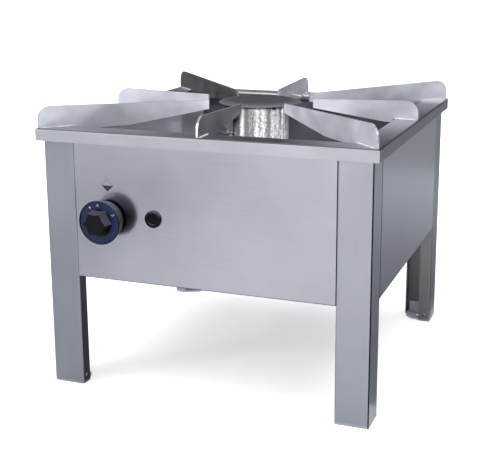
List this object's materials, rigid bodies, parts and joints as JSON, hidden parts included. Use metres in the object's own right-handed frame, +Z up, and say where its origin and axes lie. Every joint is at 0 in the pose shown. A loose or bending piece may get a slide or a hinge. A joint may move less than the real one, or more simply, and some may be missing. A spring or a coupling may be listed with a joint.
{
  "type": "gas stock pot range",
  "caption": "Low free-standing gas stock pot range: folded steel stand, radial pan supports over one capped burner, push-and-turn knob and igniter.",
  "frame": {"origin": "on the floor, under the middle of the whole object's box", "axes": "+Z up; the front panel with the knob and igniter faces -Y; +X is to the right of someone who faces it"},
  "size_m": [0.6, 0.6576, 0.4985],
  "materials": {
    "brushed_stainless": "fine-brushed stainless steel sheet, satin",
    "support_plate": "stainless plate, satin, bright sawn edges",
    "foot_steel": "stainless plate, mill finish",
    "zinc_plated": "zinc-plated steel, satin",
    "aluminised_steel": "bright rolled sheet, slightly uneven and streaked",
    "burner_iron": "dark cast iron, satin",
    "brass": "turned brass, satin",
    "copper_pipe": "drawn copper tube, slightly dull",
    "steel_pipe": "drawn steel tube",
    "black_plastic": "moulded black phenolic plastic, semi-gloss",
    "blue_dial": "printed navy blue dial ring with plain pale marks",
    "white_ceramic": null,
    "lead_silicone": "red silicone-sheathed high-tension lead"
  },
  "bodies": {
    "stand": {"top_frame": "brushed_stainless", "pan_support_right": "support_plate", "pan_support_rear_right": "support_plate", "pan_support_rear": "support_plate", "pan_support_rear_left": "support_plate", "pan_support_left": "support_plate", "pan_support_front_left": "support_plate", "pan_support_front": "support_plate", "pan_support_front_right": "support_plate", "leg_front_left": "brushed_stainless", "leg_front_right": "brushed_stainless", "leg_rear_right": "brushed_stainless", "leg_rear_left": "brushed_stainless", "foot_plate_front_left": "foot_steel", "foot_plate_front_right": "foot_steel", "foot_plate_rear_right": "foot_steel", "foot_plate_rear_left": "foot_steel", "front_panel": "brushed_stainless", "rear_panel": "brushed_stainless", "right_panel": "brushed_stainless", "left_panel": "brushed_stainless", "tray_runner_left": "zinc_plated", "tray_runner_right": "zinc_plated", "burner_crossbar": "zinc_plated", "burner_base": "zinc_plated", "burner_drum": "aluminised_steel", "mixing_tube": "burner_iron", "injector_bracket": "zinc_plated", "injector": "brass", "gas_tap_body": "brass", "tap_nut": "zinc_plated", "igniter_body": "black_plastic", "igniter_nut": "zinc_plated", "gas_inlet": "brass", "inlet_nut": "zinc_plated", "supply_pipe": "steel_pipe", "feed_pipe": "copper_pipe", "pilot_bracket": "aluminised_steel", "pilot_burner": "brass", "flame_sensor": "copper_pipe", "spark_insulator": "white_ceramic", "spark_wire": "steel_pipe", "sensor_lead": "copper_pipe", "pilot_pipe": "steel_pipe", "ignition_lead": "lead_silicone"},
    "tap_plunger": {"tap_plunger": "zinc_plated"},
    "knob": {"tap_spindle": "zinc_plated", "knob_skirt": "black_plastic", "knob_dial": "blue_dial", "knob_grip": "black_plastic"},
    "igniter_button": {"igniter_button": "black_plastic"},
    "burner_cap": {"burner_cap": "burner_iron"},
    "drip_tray": {"drip_tray": "brushed_stainless"}
  },
  "joints": [
    {"name": "knob_push", "type": "slide", "parent": "stand", "child": "tap_plunger", "axis": [0, 1, 0], "range_m": [0, 0.004], "stiffness_N_per_m": 800},
    {"name": "knob_turn", "type": "hinge", "parent": "tap_plunger", "child": "knob", "pos_m": [-0.17, -0.2792, 0.3125], "axis": [0, -1, 0], "range_deg": [0, 180]},
    {"name": "igniter_press", "type": "slide", "parent": "stand", "child": "igniter_button", "axis": [0, 1, 0], "range_m": [0, 0.006], "stiffness_N_per_m": 600},
    {"name": "cap_lift", "type": "slide", "parent": "stand", "child": "burner_cap", "axis": [0, 0, 1], "range_m": [0, 0.12]},
    {"name": "tray_slide", "type": "slide", "parent": "stand", "child": "drip_tray", "axis": [0, -1, 0], "range_m": [0, 0.4]}
  ]
}
